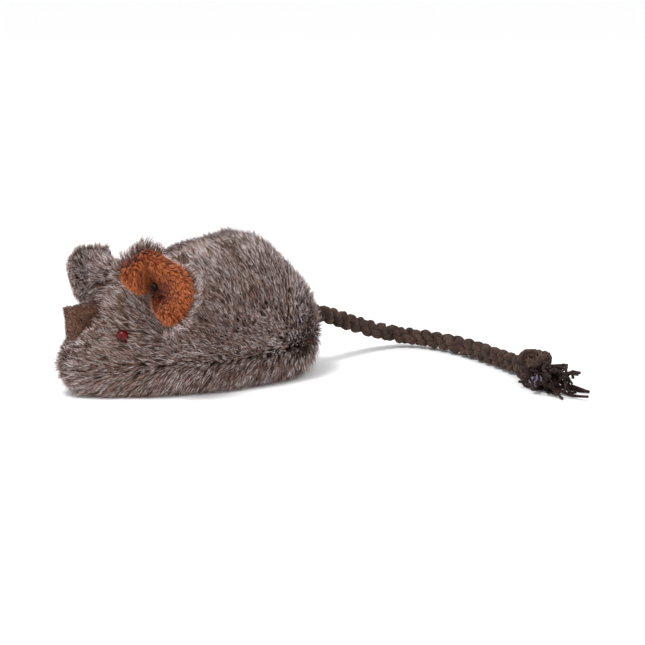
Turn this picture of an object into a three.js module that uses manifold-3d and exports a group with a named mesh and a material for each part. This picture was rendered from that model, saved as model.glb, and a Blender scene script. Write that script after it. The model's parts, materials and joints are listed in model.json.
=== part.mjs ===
// A plush mouse with a clockwork motor inside, in millimetres.
// +Z is up, the nose points along -X, the mouse's own left side faces -Y.
// The origin lies on the floor, under the middle of the body.
import * as THREE from "three";
import { mergeVertices } from "three/addons/utils/BufferGeometryUtils.js";
import Module from "manifold-3d";

const wasm = await Module();
wasm.setup();

// ---------------------------------------------------------------- driving dimensions
const gap = 0.3;                 // between neighbouring pieces
const plush = 5;                 // backing cloth and pile together
const hemHeight = 12;            // seam between the skirt band and the two side panels

// The body's outside, at nine even stations from the nose to the tail.
const body = {
  halfLength: 52.8,
  widestAt: 14,                  // height of the widest line
  underDepth: 27,                // how far the sides would curl in under the widest line
  squareness: 2.2,
  endRoundness: 0.4,
  chinTuck: 2.5,
  rise: [10, 23, 30.5, 33.8, 37.5, 40.2, 44.5, 41.5, 34],
  halfWidth: [12, 17.5, 22.2, 25, 26.4, 27.4, 28, 29, 28],
};

const ear = {
  rimRadius: 13.6,
  pileMargin: 3.2,               // pile standing out past the lining's rim
  throatRadius: 1.6,
  depth: 8,
  liningThickness: 1.6,
  backThickness: 3.6,
  left: { centre: [-24.5, -25, 41.2], facing: [-0.5, -0.84, 0.2], fromAngle: -76, toAngle: 168 },
  right: { centre: [-29.2, 21.5, 38.2], facing: [-0.62, 0.7, -0.3], fromAngle: -70, toAngle: 212 },
};

const felt = {
  tipX: -48.9,
  backX: -35.5,
  halfWidth: 5.6,
  tipHalfWidth: 0.5,
  foldDepth: 2.2,                // how far the fold's inside stays behind its tip, in thicknesses
  low: 17,
  high: 33,
  riseToBack: 0.15,
  lean: 0.15,
  thickness: 1.4,
};

const bead = { radius: 2.25, at: [-33, -15.4, 23.4] };

const rope = { radius: 3.45, sides: 10, holeHeight: 21, holeFrom: 42, pocketFrom: 38 };
const whipping = { thickness: 1.6, from: 39.5, to: 43 };
const ropeRoute = [
  [39, 0, 21], [45, 0, 21], [50.5, 0, 21], [57, 0.4, 19.6], [66, 3.6, 16.4], [74.2, 6.1, 13],
  [82.2, 7.9, 10], [90, 8.9, 7.4], [98.4, 8.2, 5.2], [105.2, 3.4, 4.1], [109.3, -4.6, 3.8],
  [111.6, -13, 3.75], [112.7, -22, 3.75], [113.1, -31.5, 3.75], [112.9, -41.5, 3.75],
  [112.3, -50.5, 3.9], [111.3, -58, 4.5], [110.6, -64, 5.2],
];
const knot = { at: [109.8, -68.4, 6.5], half: [6.9, 6.7, 6.3] };
const tassel = { at: [108, -88, 4.7], half: [9.5, 14.5, 4.4] };
const tuft = { at: [103.6, -77.2, 3], half: [2.4, 2.2, 2.4] };

const toothModule = 0.6;
const tooth = {                  // in modules, and half widths as shares of half a tooth's pitch
  above: 0.8, below: 1.2, tipHalf: 0.3, pitchHalf: 0.72, rootHalf: 0.95,
};
const motor = {
  insideHalf: 8,                 // half the distance between the side plates
  plate: 1.2,
  front: -14,
  rear: 26,
  foot: 5.5,
  top: 36.5,
  corner: 3,
};
const teeth = { great: 36, counter: 27, pinion: 9 };
const driveAxle = { x: 18, z: 9, radius: 1 };
const shaftRadius = { arbor: 2, counter: 1 };
const faces = {                  // where each wheel of the train sits across the motor
  great: [4.6, 6.6], counterPinion: [4.2, 7], counterGear: [1, 3], axlePinion: [0.6, 3.4],
};
const spring = { ribbon: 0.4, turns: 5, coilRadius: 9.6, from: -7.3, to: -0.4 };
const counterAngle = 124;        // from the drive axle up to the counter shaft
const arborAngle = 152.5;        // from the counter shaft up to the spring arbor
const wheel = {
  radius: 9, inner: 11, width: 4.5, tyre: 1.8, hub: 2.6, web: 1.4, lip: 0.2, bevel: 0.5, shoulder: 0.6,
};
const frontWheel = { x: -27, z: 6, radius: 6, inner: 5, width: 4, pin: 0.8 };
const frontLug = { middle: 3.2, halfLength: 2.5, halfThick: 0.8, top: 8.6 };
const clip = { thickness: 1.6, top: 11, sunk: 0.5 };
const wellSlack = 0.8;           // round the wheels, in the base plate
const base = { low: 3.2, high: 5.2 };
const key = {
  hubRadius: 3, hubFrom: 23, bowFrom: 27.7, hubPast: 1.4, cap: 0.8, neckSunk: 0.4,
  lobesApart: 11, thickness: 1.6,
};
const pillars = [[-11, 9.5], [-11, 33], [22.5, 32.5], [24, 17]];
const pillar = { radius: 1.9, bore: 1 };
const screw = { shank: 0.7, from: 4, head: 1.7, crown: 1.4, height: 0.8 };
const stuffing = { clipRoom: 2.1, rearRoom: 2.3, headLow: 12.8 };

// ---------------------------------------------------------------- small helpers
const colours = {
  plush: [0x82726a, 0.95, 0],
  lining: [0xb9643a, 0.9, 0],
  felt: [0x78584a, 0.95, 0],
  bead: [0x7a0a10, 0.15, 0],
  rope: [0x3c2d28, 0.95, 0],
  core: [0xc9c2e4, 0.95, 0],
  wadding: [0xe6e2da, 1, 0],
  plastic: [0x26262a, 0.45, 0],
  steel: [0xb6b9bd, 0.35, 1],
  brass: [0xc8a14e, 0.3, 1],
  nylon: [0xf0ede2, 0.4, 0],
  rubber: [0x1c1c1c, 0.8, 0],
};

const mouse = new THREE.Group();

function addPiece(name, geometry, finish) {
  const [color, roughness, metalness] = colours[finish];
  const mesh = new THREE.Mesh(geometry, new THREE.MeshStandardMaterial({ color, roughness, metalness }));
  mesh.name = name;
  mouse.add(mesh);
}

function toSolid(geometry) {
  const bare = geometry.clone();
  bare.deleteAttribute("normal");
  bare.deleteAttribute("uv");
  const welded = mergeVertices(bare, 1e-4);
  const vertProperties = new Float32Array(welded.attributes.position.array);
  const triVerts = new Uint32Array(welded.index.array);
  return new wasm.Manifold(new wasm.Mesh({ numProp: 3, vertProperties, triVerts }));
}

function toGeometry(solid) {
  const largest = solid.decompose().sort((a, b) => b.volume() - a.volume())[0];
  const mesh = largest.getMesh();
  const geometry = new THREE.BufferGeometry();
  geometry.setAttribute("position", new THREE.BufferAttribute(mesh.vertProperties, 3));
  geometry.setIndex(new THREE.BufferAttribute(mesh.triVerts, 1));
  return geometry;
}

function box(x0, x1, y0, y1, z0, z1) {
  const geometry = new THREE.BoxGeometry(x1 - x0, y1 - y0, z1 - z0);
  return toSolid(geometry.translate((x0 + x1) / 2, (y0 + y1) / 2, (z0 + z1) / 2));
}

// A round bar along Y, centred on (x, z).
function bar(radius, y0, y1, x, z, sides = 16) {
  const geometry = new THREE.CylinderGeometry(radius, radius, y1 - y0, sides);
  return geometry.translate(x, (y0 + y1) / 2, z);
}

// A turned piece about the Y axis: outline points are [radius, y].
function turned(outline, x, z, sides = 24) {
  const points = outline.map(([radius, y]) => new THREE.Vector2(radius, y));
  return new THREE.LatheGeometry(points, sides).translate(x, 0, z);
}

function ring(inner, outer, y0, y1, x, z, sides = 24) {
  return turned([[inner, y0], [outer, y0], [outer, y1], [inner, y1], [inner, y0]], x, z, sides);
}

// A flat outline in the X-Z plane, given thickness from y0 to y1.
function plateAcross(shape, y0, y1) {
  const geometry = new THREE.ExtrudeGeometry(shape, { depth: y1 - y0, bevelEnabled: false, curveSegments: 6 });
  return geometry.rotateX(Math.PI / 2).translate(0, y1, 0);
}

function moveVertices(geometry, change) {
  const place = geometry.attributes.position;
  const point = new THREE.Vector3();
  for (let i = 0; i < place.count; i++) {
    point.fromBufferAttribute(place, i);
    change(point);
    place.setXYZ(i, point.x, point.y, point.z);
  }
  return geometry;
}

// A smooth curve through evenly spaced values, for along from -1 to 1.
function smoothThrough(values, along) {
  const last = values.length - 1;
  const s = ((along + 1) / 2) * last;
  const i = Math.min(Math.floor(s), last - 1);
  const f = s - i;
  const b = values[i];
  const c = values[i + 1];
  const a = i > 0 ? values[i - 1] : 2 * b - c;
  const d = i < last - 1 ? values[i + 2] : 2 * c - b;
  return b + 0.5 * f * (c - a + f * (2 * a - 5 * b + 4 * c - d + f * (3 * (b - c) + d - a)));
}

// ---------------------------------------------------------------- plush cover
// The body's outside brought in by inset: a ball whose poles are the nose and the tail.
function bodySolid(inset, around, along) {
  const ball = new THREE.SphereGeometry(1, around, along).rotateZ(Math.PI / 2);
  moveVertices(ball, (p) => {
    const t = THREE.MathUtils.clamp(p.x, -1, 1);
    const round = Math.pow(Math.max(1 - t * t, 0), body.endRoundness);
    const angle = Math.atan2(p.z, p.y);
    const bulge = (v) => Math.sign(v) * Math.pow(Math.abs(v), 2 / body.squareness);
    const side = bulge(Math.cos(angle)) * round;
    const upright = bulge(Math.sin(angle)) * round;
    const rise = smoothThrough(body.rise, t) - inset;
    const reach = upright > 0 ? rise : body.underDepth;
    p.x = t * (body.halfLength - inset);
    p.y = side * (smoothThrough(body.halfWidth, t) - inset);
    p.z = body.widestAt + upright * reach;
    const below = THREE.MathUtils.clamp(1 - p.z / body.widestAt, 0, 1);
    p.x += body.chinTuck * below * Math.max(-t, 0) ** 2;
  });
  return toSolid(ball);
}

const outside = bodySolid(0, 36, 24);
const inside = bodySolid(plush, 24, 16);
const clearOutside = bodySolid(-gap, 36, 24);
const filling = bodySolid(plush + 2 * gap, 24, 16);

const far = 80;
const tailHole = tailBore(rope.radius + 2 * gap, rope.holeFrom);
const tailPocket = tailBore(rope.radius + whipping.thickness + gap, rope.pocketFrom);

const counter = stepFrom(driveAxle, (toothModule * (teeth.counter + teeth.pinion)) / 2, counterAngle);
const arbor = stepFrom(counter, (toothModule * (teeth.great + teeth.pinion)) / 2, arborAngle);
arbor.radius = shaftRadius.arbor;
counter.radius = shaftRadius.counter;

// A hole along X at the rope's height, open to the rear.
function tailBore(radius, from) {
  const geometry = new THREE.CylinderGeometry(radius, radius, far - from, 16).rotateZ(Math.PI / 2);
  return toSolid(geometry.translate((from + far) / 2, 0, rope.holeHeight));
}

function stepFrom(place, distance, degrees) {
  const angle = THREE.MathUtils.degToRad(degrees);
  return { x: place.x + distance * Math.cos(angle), z: place.z + distance * Math.sin(angle) };
}

function addCover() {
  const beads = [-1, 1].map((side) => toSolid(
    new THREE.SphereGeometry(bead.radius + gap, 12, 8)
      .translate(bead.at[0], side * Math.abs(bead.at[1]), bead.at[2])));
  const keyHole = toSolid(bar(key.hubRadius + 2 * gap, motor.insideHalf, far, arbor.x, arbor.z, 16));
  const shell = outside.subtract(inside).subtract(tailHole).subtract(keyHole)
    .subtract(beads[0]).subtract(beads[1]);
  const half = gap / 2;
  const left = shell.intersect(box(-far, far, -far, -half, hemHeight + half, far));
  const right = shell.intersect(box(-far, far, half, far, hemHeight + half, far));
  const skirt = shell.intersect(box(-far, far, -far, far, 0, hemHeight - half));
  addPiece("cover_left_panel", toGeometry(left), "plush");
  addPiece("cover_right_panel", toGeometry(right), "plush");
  addPiece("skirt_band", toGeometry(skirt), "plush");
}

function addFilling() {
  const seam = motor.front - stuffing.clipRoom;
  const rear = motor.rear + stuffing.rearRoom;
  const head = filling.intersect(box(-far, seam - gap, -far, far, stuffing.headLow, far));
  const back = filling.intersect(box(seam, far, -far, far, motor.top + 2 * gap, far));
  const rump = filling.intersect(box(rear, far, -far, far, base.high + gap, motor.top + gap));
  addPiece("head_stuffing", toGeometry(head), "wadding");
  addPiece("back_stuffing", toGeometry(back), "wadding");
  addPiece("rump_stuffing", toGeometry(rump.subtract(tailPocket)), "wadding");
}

// ---------------------------------------------------------------- head
// One bent sheet of an ear: a fan from fromAngle to toAngle, sunk in towards its throat.
function earSheet(pose, near, thickness, outerRadius, spans) {
  const side = Math.sign(pose.centre[1]);
  const sheet = new THREE.BoxGeometry(1, 1, 1, spans, 3, 1);
  const [fx, fy, fz] = pose.facing;
  const facing = new THREE.Vector3(fx, -Math.abs(fy), fz).normalize();
  const across = new THREE.Vector3(0, 0, 1).cross(facing).normalize();
  const up = facing.clone().cross(across);
  const [x, y, z] = pose.centre;
  const centre = new THREE.Vector3(x, -Math.abs(y), z);
  moveVertices(sheet, (p) => {
    const degrees = THREE.MathUtils.lerp(pose.fromAngle, pose.toAngle, p.x + 0.5);
    const angle = THREE.MathUtils.degToRad(degrees);
    const reach = THREE.MathUtils.lerp(ear.throatRadius, outerRadius, p.y + 0.5);
    const sunk = -ear.depth * (1 - reach / ear.rimRadius) - near - (0.5 - p.z) * thickness;
    const spot = centre.clone()
      .addScaledVector(across, reach * Math.cos(angle))
      .addScaledVector(up, reach * Math.sin(angle))
      .addScaledVector(facing, sunk);
    p.copy(spot);
    p.y *= -side;
  });
  if (side < 0) {
    sheet.index.array.reverse();
  }
  return sheet;
}

function addEars() {
  for (const name of ["left", "right"]) {
    const lining = earSheet(ear[name], 0, ear.liningThickness, ear.rimRadius, 16);
    const backAt = ear.liningThickness + gap;
    const back = earSheet(ear[name], backAt, ear.backThickness, ear.rimRadius + ear.pileMargin, 16);
    addPiece(`ear_${name}_back`, toGeometry(toSolid(back).subtract(clearOutside)), "plush");
    addPiece(`ear_${name}_lining`, toGeometry(toSolid(lining).subtract(clearOutside)), "lining");
  }
}

function feltWedge(inset) {
  const shape = new THREE.Shape();
  const tip = felt.tipX + felt.foldDepth * inset;
  shape.moveTo(tip, felt.tipHalfWidth);
  shape.lineTo(tip, -felt.tipHalfWidth);
  shape.lineTo(felt.backX + inset, inset - felt.halfWidth);
  shape.lineTo(felt.backX + inset, felt.halfWidth - inset);
  shape.closePath();
  const wedge = new THREE.ExtrudeGeometry(shape, {
    depth: felt.high - inset - felt.low + 2 * inset,
    bevelEnabled: false,
  });
  wedge.translate(0, 0, felt.low - 2 * inset);
  return toSolid(moveVertices(wedge, (p) => {
    p.x += (felt.high - p.z) * felt.lean;
    p.z += (p.x - felt.tipX) * felt.riseToBack;
  }));
}

function addFace() {
  const nose = feltWedge(0).subtract(feltWedge(felt.thickness)).subtract(clearOutside);
  addPiece("nose_felt", toGeometry(nose), "felt");
  for (const [name, side] of [["left", -1], ["right", 1]]) {
    const [x, y, z] = bead.at;
    const ball = new THREE.SphereGeometry(bead.radius, 12, 8).translate(x, side * Math.abs(y), z);
    addPiece(`eye_${name}_bead`, ball, "bead");
  }
}

// ---------------------------------------------------------------- tail
function ball(half, at, around = 14, along = 9) {
  return new THREE.SphereGeometry(1, around, along).scale(...half).translate(...at);
}

function addTail() {
  const section = new THREE.Shape();
  section.absarc(0, 0, rope.radius, 0, 2 * Math.PI);
  const path = new THREE.CatmullRomCurve3(ropeRoute.map((p) => new THREE.Vector3(...p)));
  const tube = new THREE.ExtrudeGeometry(section, {
    steps: 34,
    extrudePath: path,
    curveSegments: rope.sides / 2,
    bevelEnabled: false,
  });
  const knotGap = toSolid(ball(knot.half.map((half) => half + gap), knot.at));
  addPiece("tail_rope", toGeometry(toSolid(tube).subtract(knotGap)), "rope");
  addPiece("tail_knot", ball(knot.half, knot.at), "rope");

  const brush = toSolid(ball(tassel.half, tassel.at, 16, 10)).subtract(knotGap);
  const coreGap = toSolid(ball(tuft.half.map((half) => half + gap), tuft.at));
  addPiece("tail_tassel", toGeometry(brush.subtract(coreGap)), "rope");
  addPiece("tail_core_tuft", toGeometry(toSolid(ball(tuft.half, tuft.at)).subtract(knotGap)), "core");

  // The rope's inner end is whipped with thread inside the rear seam.
  const outer = rope.radius + whipping.thickness;
  const thread = ring(rope.radius + gap, outer, whipping.from, whipping.to, 0, 0, 16);
  addPiece("tail_whipping", thread.rotateZ(-Math.PI / 2).translate(0, 0, rope.holeHeight), "rope");
}

// ---------------------------------------------------------------- clockwork
// A spur gear in the X-Z plane with a tooth centred on the given angle.
function gear(count, place, bore, y0, y1, toothAngle) {
  const pitch = (toothModule * count) / 2;
  const root = pitch - tooth.below * toothModule;
  const tip = pitch + tooth.above * toothModule;
  const step = (2 * Math.PI) / count;
  const outline = new THREE.Shape();
  const put = (first, radius, angle) => {
    const x = place.x + radius * Math.cos(angle);
    const z = place.z + radius * Math.sin(angle);
    if (first) outline.moveTo(x, z);
    else outline.lineTo(x, z);
  };
  const halfAt = (radius, thickness) => thickness / 2 / radius;
  for (let i = 0; i < count; i++) {
    const centre = toothAngle + i * step;
    put(i === 0, root, centre - halfAt(root, tooth.rootHalf));
    put(false, pitch, centre - halfAt(pitch, tooth.pitchHalf));
    put(false, tip, centre - halfAt(tip, tooth.tipHalf));
    put(false, tip, centre + halfAt(tip, tooth.tipHalf));
    put(false, pitch, centre + halfAt(pitch, tooth.pitchHalf));
    put(false, root, centre + halfAt(root, tooth.rootHalf));
  }
  outline.closePath();
  const hole = new THREE.Path();
  hole.absarc(place.x, place.z, bore, 0, 2 * Math.PI, true);
  outline.holes.push(hole);
  return plateAcross(outline, y0, y1);
}

function angleTo(a, b) {
  return Math.atan2(b.z - a.z, b.x - a.x);
}

function addChassis() {
  const outer = wheel.inner + wheel.width;
  let plate = filling.intersect(box(-far, far, -far, far, base.low, base.high));
  for (const side of [-1, 1]) {
    const [near, away] = [side * (wheel.inner - wellSlack), side * (outer + wellSlack)];
    plate = plate.subtract(box(
      driveAxle.x - wheel.radius - wellSlack, driveAxle.x + wheel.radius + wellSlack,
      Math.min(near, away), Math.max(near, away), -far, far));
    const low = side * (frontWheel.inner - clip.sunk);
    const high = side * (frontWheel.inner + frontWheel.width + wellSlack);
    plate = plate.subtract(box(
      frontWheel.x - frontWheel.radius - wellSlack, frontWheel.x + frontWheel.radius + wellSlack,
      Math.min(low, high), Math.max(low, high), -far, far));
  }
  const clips = [motor.front - gap - clip.thickness, motor.rear + gap];
  const clipFoot = base.high - clip.sunk;
  for (const x of clips) {
    const { thickness, top } = clip;
    plate = plate.add(box(x, x + thickness, -motor.insideHalf, motor.insideHalf, clipFoot, top));
  }
  for (const side of [-1, 1]) {
    const y = side * frontLug.middle;
    plate = plate.add(box(
      frontWheel.x - frontLug.halfLength, frontWheel.x + frontLug.halfLength,
      y - frontLug.halfThick, y + frontLug.halfThick, clipFoot, frontLug.top));
  }
  const pinHole = toSolid(bar(frontWheel.pin + gap, -far, far, frontWheel.x, frontWheel.z, 12));
  addPiece("base_plate", toGeometry(plate.subtract(pinHole)), "plastic");

  for (const [name, y0] of [["left", -motor.insideHalf - motor.plate], ["right", motor.insideHalf]]) {
    const side = new THREE.Shape();
    const { front, rear, foot, top, corner } = motor;
    side.moveTo(front + corner, foot);
    side.lineTo(rear - corner, foot);
    side.absarc(rear - corner, foot + corner, corner, -Math.PI / 2, 0);
    side.absarc(rear - corner, top - corner, corner, 0, Math.PI / 2);
    side.absarc(front + corner, top - corner, corner, Math.PI / 2, Math.PI);
    side.absarc(front + corner, foot + corner, corner, Math.PI, 1.5 * Math.PI);
    const holes = [arbor, counter, driveAxle].map((shaft) => [shaft.x, shaft.z, shaft.radius + gap]);
    pillars.forEach(([x, z]) => holes.push([x, z, pillar.bore]));
    for (const [x, z, radius] of holes) {
      const hole = new THREE.Path();
      hole.absarc(x, z, radius, 0, 2 * Math.PI, true);
      side.holes.push(hole);
    }
    addPiece(`motor_frame_${name}`, plateAcross(side, y0, y0 + motor.plate), "steel");
  }

  const inner = motor.insideHalf - gap;
  pillars.forEach(([x, z], i) => {
    addPiece(`frame_pillar_${i + 1}`, ring(pillar.bore, pillar.radius, -inner, inner, x, z, 12), "brass");
    for (const [name, side] of [["left", -1], ["right", 1]]) {
      const face = motor.insideHalf + motor.plate + gap;
      const top = face + screw.height;
      const shape = turned([
        [0, screw.from], [screw.shank, screw.from], [screw.shank, face], [screw.head, face],
        [screw.crown, top], [0, top],
      ], 0, 0, 8);
      if (side < 0) {
        shape.rotateX(Math.PI);
      }
      addPiece(`frame_screw_${name}_${i + 1}`, shape.translate(x, 0, z), "steel");
    }
  });
}

function addWindingSet() {
  const keyTip = -new THREE.Box3().setFromObject(mouse.getObjectByName("ear_left_back")).min.y;
  const lobe = (keyTip - key.bowFrom) / 2;
  const hubTo = key.bowFrom + key.hubPast;
  const arborEnd = hubTo - key.cap;
  const socket = toSolid(bar(arbor.radius + gap, motor.insideHalf, arborEnd + gap, arbor.x, arbor.z, 16));
  const halfThick = key.thickness / 2;
  let bow = toSolid(bar(key.hubRadius, key.hubFrom, hubTo, arbor.x, arbor.z, 16)).subtract(socket);
  bow = bow.add(box(
    arbor.x - key.lobesApart / 2, arbor.x + key.lobesApart / 2,
    hubTo - key.neckSunk, keyTip - 0.8 * lobe, arbor.z - halfThick, arbor.z + halfThick));
  for (const side of [-0.5, 0.5]) {
    const disc = new THREE.CylinderGeometry(lobe, lobe, key.thickness, 20).rotateX(Math.PI / 2);
    bow = bow.add(toSolid(disc.translate(arbor.x + side * key.lobesApart, keyTip - lobe, arbor.z)));
  }
  addPiece("winding_key", toGeometry(bow), "steel");
  const shaft = bar(arbor.radius, -motor.insideHalf - motor.plate - 0.6, arborEnd, arbor.x, arbor.z, 16);
  addPiece("spring_arbor", shaft, "steel");
  const mesh = angleTo(arbor, counter);
  addPiece("great_gear", gear(teeth.great, arbor, arbor.radius + gap, ...faces.great, mesh), "brass");
  addMainspring();
}

// A flat coiled ribbon, hooked to the low front pillar at its outer end.
function addMainspring() {
  const { ribbon, turns, coilRadius } = spring;
  const spans = turns * 18;
  const [hookX, hookZ] = pillars[0];
  const hookAngle = angleTo(arbor, { x: hookX, z: hookZ });
  const hookRadius = Math.hypot(hookX - arbor.x, hookZ - arbor.z) - pillar.radius - gap - ribbon;
  const innerRadius = arbor.radius + gap + ribbon;
  const leadOut = 0.06;
  const strip = new THREE.BoxGeometry(1, 1, 1, spans, 1, 1);
  moveVertices(strip, (p) => {
    const along = p.x + 0.5;
    const angle = hookAngle - (1 - along) * turns * 2 * Math.PI;
    const wound = THREE.MathUtils.lerp(innerRadius, coilRadius, along / (1 - leadOut));
    const out = THREE.MathUtils.smoothstep(along, 1 - leadOut, 1);
    const radius = THREE.MathUtils.lerp(Math.min(wound, coilRadius), hookRadius, out) + p.y * ribbon;
    const y = THREE.MathUtils.lerp(spring.from, spring.to, p.z + 0.5);
    p.set(arbor.x + radius * Math.cos(angle), y, arbor.z + radius * Math.sin(angle));
  });
  addPiece("mainspring", strip, "steel");
}

function addCounterShaft() {
  const end = motor.insideHalf + motor.plate + 0.4;
  addPiece("counter_shaft", bar(counter.radius, -end, end, counter.x, counter.z, 12), "steel");
  const pinionTooth = angleTo(counter, arbor) + Math.PI / teeth.pinion;
  const bore = counter.radius + gap;
  const pinion = gear(teeth.pinion, counter, bore, ...faces.counterPinion, pinionTooth);
  addPiece("counter_pinion", pinion, "brass");
  const gearTooth = angleTo(counter, driveAxle);
  addPiece("counter_gear", gear(teeth.counter, counter, bore, ...faces.counterGear, gearTooth), "nylon");
}

function addDriveWheels() {
  const outer = wheel.inner + wheel.width;
  const { x, z, radius } = driveAxle;
  addPiece("drive_axle", bar(radius, -outer, outer, x, z, 12), "steel");
  const pinionTooth = angleTo(driveAxle, counter) + Math.PI / teeth.pinion;
  const pinion = gear(teeth.pinion, driveAxle, radius + gap, ...faces.axlePinion, pinionTooth);
  addPiece("axle_pinion", pinion, "nylon");
  const rim = wheel.radius - wheel.tyre;
  for (const [name, side] of [["left", -1], ["right", 1]]) {
    const { web, lip, bevel, shoulder } = wheel;
    const wall = rim - web;
    const [near, away] = [wheel.inner, outer];
    const hub = turned([
      [radius + gap, near], [wheel.hub, near], [wheel.hub, near + web], [wall, near + web],
      [wall, near + lip], [rim - gap, near + lip], [rim - gap, away - lip], [wall, away - lip], [wall, away - web],
      [wheel.hub, away - web], [wheel.hub, away], [radius + gap, away], [radius + gap, near],
    ], 0, 0, 18);
    const tread = wheel.radius;
    const tyre = turned([
      [rim, near], [tread - bevel, near], [tread, near + shoulder], [tread, away - shoulder],
      [tread - bevel, away], [rim, away], [rim, near],
    ], 0, 0, 20);
    for (const [piece, shape, finish] of [["wheel", hub, "nylon"], ["tyre", tyre, "rubber"]]) {
      if (side < 0) {
        shape.rotateX(Math.PI);
      }
      addPiece(`drive_${piece}_${name}`, shape.translate(x, 0, z), finish);
    }
  }
}

function addFrontWheels() {
  const { x, z, inner, width, pin } = frontWheel;
  const outer = inner + width;
  addPiece("front_axle_pin", bar(pin, -outer, outer, x, z, 10), "steel");
  for (const [name, side] of [["left", -1], ["right", 1]]) {
    const [y0, y1] = side < 0 ? [-outer, -inner] : [inner, outer];
    addPiece(`front_wheel_${name}`, ring(pin + gap, frontWheel.radius, y0, y1, x, z, 20), "nylon");
  }
}

addCover();
addFilling();
addEars();
addFace();
addTail();
addChassis();
addWindingSet();
addCounterShaft();
addDriveWheels();
addFrontWheels();

export default mouse;
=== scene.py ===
import json
import math

import bmesh
import bpy
import numpy as np
from mathutils import Matrix, Vector, noise
from mathutils.bvhtree import BVHTree
from mathutils.kdtree import KDTree


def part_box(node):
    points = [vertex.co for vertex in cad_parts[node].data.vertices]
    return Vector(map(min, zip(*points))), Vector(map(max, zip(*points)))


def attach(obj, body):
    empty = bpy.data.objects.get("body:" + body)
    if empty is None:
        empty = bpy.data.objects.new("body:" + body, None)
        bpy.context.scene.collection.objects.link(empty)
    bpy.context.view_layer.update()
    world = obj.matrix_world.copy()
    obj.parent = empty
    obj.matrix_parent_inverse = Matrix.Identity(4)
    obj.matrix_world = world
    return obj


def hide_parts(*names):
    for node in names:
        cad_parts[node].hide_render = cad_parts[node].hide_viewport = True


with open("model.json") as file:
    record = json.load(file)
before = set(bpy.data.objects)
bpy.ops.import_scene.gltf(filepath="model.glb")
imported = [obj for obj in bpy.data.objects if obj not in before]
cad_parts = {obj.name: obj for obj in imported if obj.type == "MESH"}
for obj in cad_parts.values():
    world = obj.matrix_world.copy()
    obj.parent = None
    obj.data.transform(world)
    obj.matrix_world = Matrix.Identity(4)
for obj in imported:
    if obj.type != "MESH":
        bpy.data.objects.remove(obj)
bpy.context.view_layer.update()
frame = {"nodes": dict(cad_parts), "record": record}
mm = 0.001

# camera, floor and light

studio = {
    "cameraAt": (-0.2965, -0.6143, 0.1666),
    "tilt": 78,
    "turn": -30,
    "lens": 104.3,
    "floorSize": 6.0,
    "floorTone": (0.93, 0.93, 0.935, 1),
    "skyStrength": 1.06,
}


def setCamera():
    camera = bpy.data.objects.new("camera", bpy.data.cameras.new("camera"))
    camera.location = studio["cameraAt"]
    camera.rotation_euler = (math.radians(studio["tilt"]), 0, math.radians(studio["turn"]))
    camera.data.sensor_width = 36
    camera.data.lens = studio["lens"]
    camera.data.clip_start = 0.01
    bpy.context.collection.objects.link(camera)
    bpy.context.scene.camera = camera


def areaLight(name, place, size, power, tone=(1, 1, 1)):
    lamp = bpy.data.lights.new(name, "AREA")
    lamp.size = size
    lamp.energy = power
    lamp.color = tone
    light = bpy.data.objects.new(name, lamp)
    light.location = place
    light.rotation_euler = (Vector((0, 0, 0.02)) - Vector(place)).to_track_quat("-Z", "Y").to_euler()
    bpy.context.collection.objects.link(light)


def setStudio():
    setCamera()
    form = bmesh.new()
    bmesh.ops.create_grid(form, x_segments=1, y_segments=1, size=studio["floorSize"])
    floor = meshObject("floor", form)
    paint = bpy.data.materials.new("floorPaint")
    paint.use_nodes = True
    shader = paint.node_tree.nodes["Principled BSDF"]
    shader.inputs["Base Color"].default_value = studio["floorTone"]
    shader.inputs["Roughness"].default_value = 0.9
    shader.inputs["Specular IOR Level"].default_value = 0.1
    floor.data.materials.append(paint)
    world = bpy.data.worlds.new("softbox")
    world.use_nodes = True
    world.node_tree.nodes["Background"].inputs["Color"].default_value = (1, 1, 1, 1)
    world.node_tree.nodes["Background"].inputs["Strength"].default_value = studio["skyStrength"]
    bpy.context.scene.world = world
    areaLight("keyLight", (-0.3, -0.1, 0.8), 0.2, 4.0)
    bpy.context.scene.view_settings.view_transform = "Standard"


# shader maths and small helpers


class Wire:
    # a shader socket that Python sums can be written on
    def __init__(self, tree, socket=None):
        self.tree, self.socket = tree, socket

    def make(self, kind, settings=None, sockets=None, output=0):
        node = self.tree.nodes.new("ShaderNode" + kind)
        for name, value in (settings or {}).items():
            if name == "stops":
                ramp = node.color_ramp
                while len(ramp.elements) < len(value):
                    ramp.elements.new(0.5)
                for stop, (at, tone) in zip(ramp.elements, value):
                    stop.position, stop.color = at, tone
            else:
                setattr(node, name, value)
        for name, value in (sockets or {}).items():
            if isinstance(value, Wire):
                self.tree.links.new(value.socket, node.inputs[name])
            else:
                node.inputs[name].default_value = value
        return Wire(self.tree, node.outputs[output])

    def maths(self, operation, first, second=0.0):
        return self.make("Math", {"operation": operation}, {0: first, 1: second})

    def __add__(self, other):
        return self.maths("ADD", self, other)

    __radd__ = __add__

    def __mul__(self, other):
        return self.maths("MULTIPLY", self, other)

    __rmul__ = __mul__

    def __sub__(self, other):
        return self.maths("SUBTRACT", self, other)

    def __rsub__(self, other):
        return self.maths("SUBTRACT", other, self)

    def __pow__(self, other):
        return self.maths("POWER", self, other)

    def clipped(self):
        return self.make("Clamp", None, {0: self})


def tone(red, green, blue, alpha=1.0):
    # screen values 0 to 255 as the linear colour the shader reads
    def linear(value):
        value /= 255
        return value / 12.92 if value <= 0.04045 else ((value + 0.055) / 1.055) ** 2.4
    return (linear(red), linear(green), linear(blue), alpha)


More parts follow.
